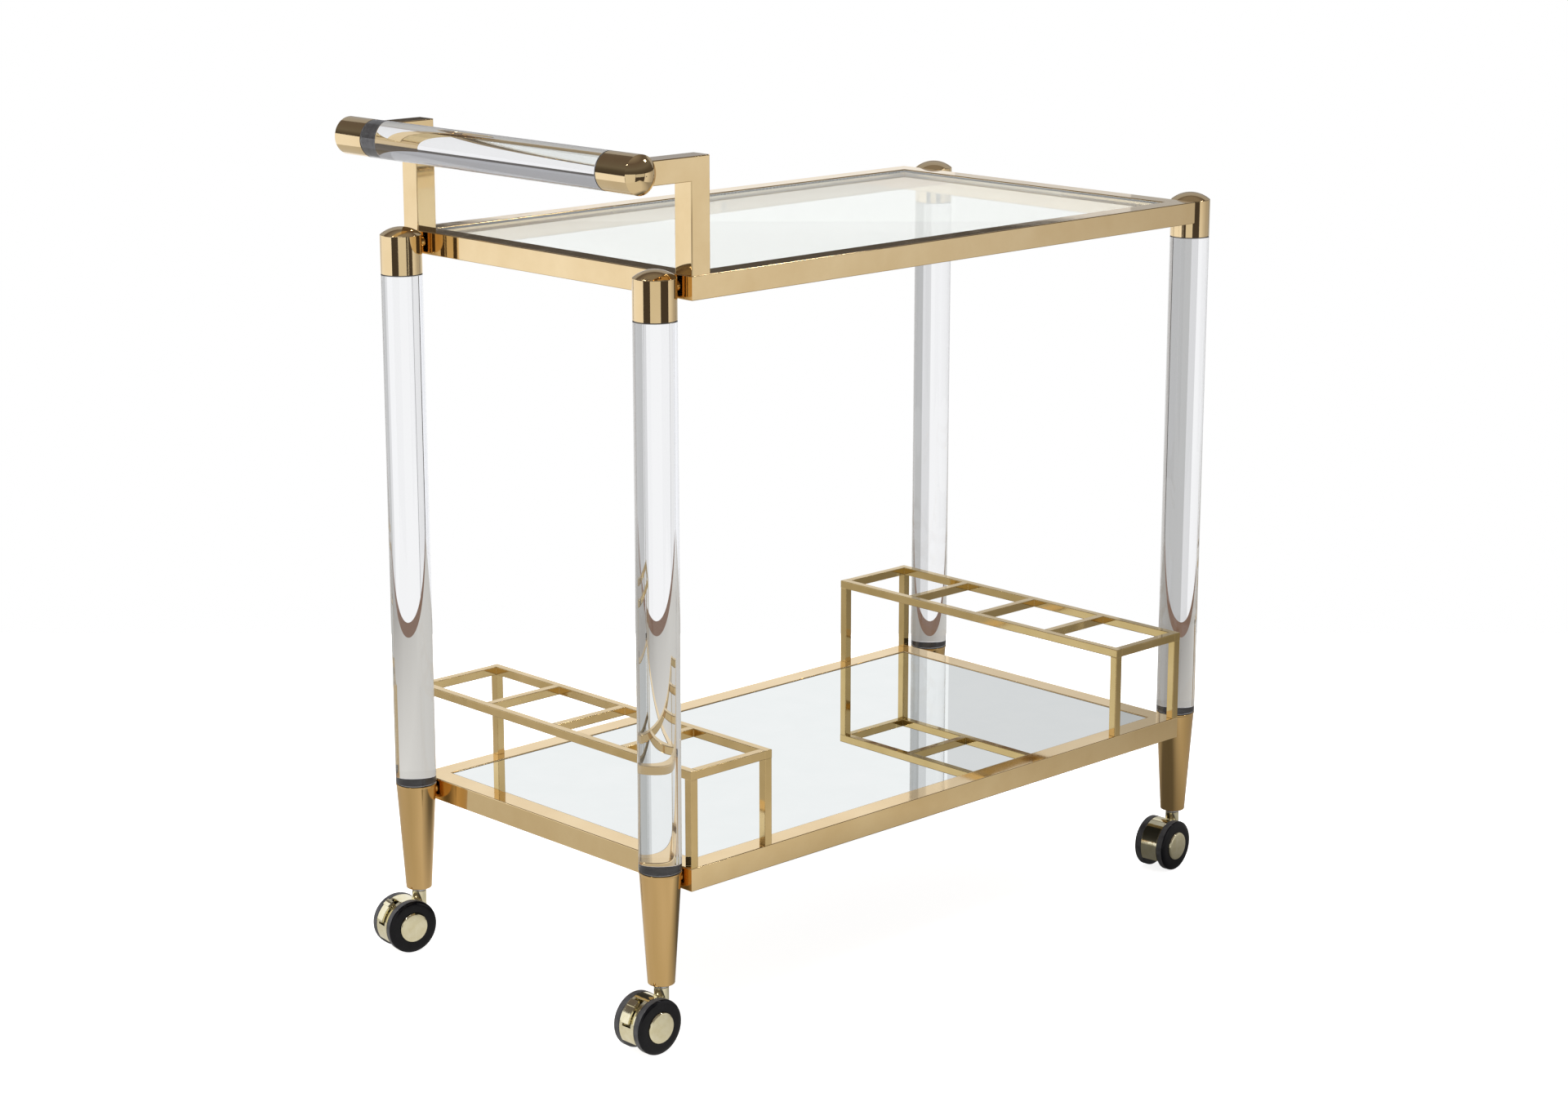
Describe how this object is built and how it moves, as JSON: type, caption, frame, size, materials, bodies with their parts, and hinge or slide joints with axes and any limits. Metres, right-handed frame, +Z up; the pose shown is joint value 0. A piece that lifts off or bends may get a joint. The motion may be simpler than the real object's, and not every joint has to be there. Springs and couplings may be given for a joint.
{
  "type": "bar cart",
  "caption": "Wheeled bar cart with clear rod posts, gold tube frames, glass top, mirror shelf, bottle racks and push handle.",
  "frame": {"origin": "centre of the bounding box's bottom face, on the floor under the cart", "axes": "+X is the way the cart is pushed, away from the handle; +Y is to the left of the person pushing; +Z is up"},
  "size_m": [0.77, 0.4074, 0.7888],
  "materials": {
    "polished_gold": "polished gold plating",
    "satin_gold": "satin gold plating",
    "caster_plating": "bright pale brass plating",
    "clear_acrylic": "clear polished acrylic",
    "clear_glass": "clear tempered glass with polished edges",
    "mirror_glass": "silvered mirror",
    "backing_black": "matte black board",
    "black_rubber": "matte black",
    "wheel_black": "gloss black faces with a duller tread",
    "fastener_steel": "plain steel"
  },
  "bodies": {
    "frame": {"bond_discs": "black_rubber", "bottle_rack_front": "polished_gold", "bottle_rack_rear": "polished_gold", "caster_stems": "fastener_steel", "frame_spacers": "polished_gold", "frame_studs": "fastener_steel", "glass_top": "clear_glass", "glazing_strips": "black_rubber", "handle_bracket_left": "polished_gold", "handle_bracket_right": "polished_gold", "handle_cap_left": "polished_gold", "handle_cap_right": "polished_gold", "handle_rod": "clear_acrylic", "handle_screws": "fastener_steel", "leg_front_left": "satin_gold", "leg_front_right": "satin_gold", "leg_rear_left": "satin_gold", "leg_rear_right": "satin_gold", "lower_end_rails": "polished_gold", "lower_long_rails": "polished_gold", "mirror_backing_board": "backing_black", "mirror_shelf": "mirror_glass", "post_cap_front_left": "polished_gold", "post_cap_front_right": "polished_gold", "post_cap_rear_left": "polished_gold", "post_cap_rear_right": "polished_gold", "post_rod_front_left": "clear_acrylic", "post_rod_front_right": "clear_acrylic", "post_rod_rear_left": "clear_acrylic", "post_rod_rear_right": "clear_acrylic", "rack_screws": "fastener_steel", "shelf_ledges": "polished_gold", "upper_end_rails": "polished_gold", "upper_long_rails": "polished_gold"},
    "swivel_front_left": {"caster_hood_front_left": "caster_plating", "caster_axle_front_left": "fastener_steel"},
    "wheel_left_front_left": {"wheel_left_front_left": "wheel_black", "hub_cap_left_front_left": "caster_plating"},
    "wheel_right_front_left": {"wheel_right_front_left": "wheel_black", "hub_cap_right_front_left": "caster_plating"},
    "swivel_front_right": {"caster_hood_front_right": "caster_plating", "caster_axle_front_right": "fastener_steel"},
    "wheel_left_front_right": {"wheel_left_front_right": "wheel_black", "hub_cap_left_front_right": "caster_plating"},
    "wheel_right_front_right": {"wheel_right_front_right": "wheel_black", "hub_cap_right_front_right": "caster_plating"},
    "swivel_rear_left": {"caster_hood_rear_left": "caster_plating", "caster_axle_rear_left": "fastener_steel"},
    "wheel_left_rear_left": {"wheel_left_rear_left": "wheel_black", "hub_cap_left_rear_left": "caster_plating"},
    "wheel_right_rear_left": {"wheel_right_rear_left": "wheel_black", "hub_cap_right_rear_left": "caster_plating"},
    "brake_rear_left": {"brake_lever_rear_left": "caster_plating"},
    "swivel_rear_right": {"caster_hood_rear_right": "caster_plating", "caster_axle_rear_right": "fastener_steel"},
    "wheel_left_rear_right": {"wheel_left_rear_right": "wheel_black", "hub_cap_left_rear_right": "caster_plating"},
    "wheel_right_rear_right": {"wheel_right_rear_right": "wheel_black", "hub_cap_right_rear_right": "caster_plating"},
    "brake_rear_right": {"brake_lever_rear_right": "caster_plating"}
  },
  "joints": [
    {"name": "swivel_front_left", "type": "hinge", "parent": "frame", "child": "swivel_front_left", "pos_m": [0.366, 0.1726, 0.05], "axis": [0, 0, 1], "continuous": true},
    {"name": "spin_left_front_left", "type": "hinge", "parent": "swivel_front_left", "child": "wheel_left_front_left", "pos_m": [0.3495, 0.1726, 0.0252], "axis": [0, 1, 0], "continuous": true},
    {"name": "spin_right_front_left", "type": "hinge", "parent": "swivel_front_left", "child": "wheel_right_front_left", "pos_m": [0.3495, 0.1726, 0.0252], "axis": [0, 1, 0], "continuous": true},
    {"name": "swivel_front_right", "type": "hinge", "parent": "frame", "child": "swivel_front_right", "pos_m": [0.366, -0.1726, 0.05], "axis": [0, 0, 1], "continuous": true},
    {"name": "spin_left_front_right", "type": "hinge", "parent": "swivel_front_right", "child": "wheel_left_front_right", "pos_m": [0.34958, -0.17418, 0.0252], "axis": [-0.0958, 0.9954, 0], "continuous": true},
    {"name": "spin_right_front_right", "type": "hinge", "parent": "swivel_front_right", "child": "wheel_right_front_right", "pos_m": [0.34958, -0.17418, 0.0252], "axis": [-0.0958, 0.9954, 0], "continuous": true},
    {"name": "swivel_rear_left", "type": "hinge", "parent": "frame", "child": "swivel_rear_left", "pos_m": [-0.3329, 0.1726, 0.05], "axis": [0, 0, 1], "continuous": true},
    {"name": "spin_left_rear_left", "type": "hinge", "parent": "swivel_rear_left", "child": "wheel_left_rear_left", "pos_m": [-0.34922, 0.17504, 0.0252], "axis": [0.1478, 0.989, 0], "continuous": true},
    {"name": "spin_right_rear_left", "type": "hinge", "parent": "swivel_rear_left", "child": "wheel_right_rear_left", "pos_m": [-0.34922, 0.17504, 0.0252], "axis": [0.1478, 0.989, 0], "continuous": true},
    {"name": "brake_rear_left", "type": "hinge", "parent": "swivel_rear_left", "child": "brake_rear_left", "pos_m": [-0.35865, 0.17645, 0.04047], "axis": [-0.1478, -0.989, 0], "range_deg": [0, 12]},
    {"name": "swivel_rear_right", "type": "hinge", "parent": "frame", "child": "swivel_rear_right", "pos_m": [-0.3329, -0.1726, 0.05], "axis": [0, 0, 1], "continuous": true},
    {"name": "spin_left_rear_right", "type": "hinge", "parent": "swivel_rear_right", "child": "wheel_left_rear_right", "pos_m": [-0.3494, -0.1726, 0.0252], "axis": [0, 1, 0], "continuous": true},
    {"name": "spin_right_rear_right", "type": "hinge", "parent": "swivel_rear_right", "child": "wheel_right_rear_right", "pos_m": [-0.3494, -0.1726, 0.0252], "axis": [0, 1, 0], "continuous": true},
    {"name": "brake_rear_right", "type": "hinge", "parent": "swivel_rear_right", "child": "brake_rear_right", "pos_m": [-0.35894, -0.1726, 0.04047], "axis": [0, -1, 0], "range_deg": [0, 12]}
  ]
}
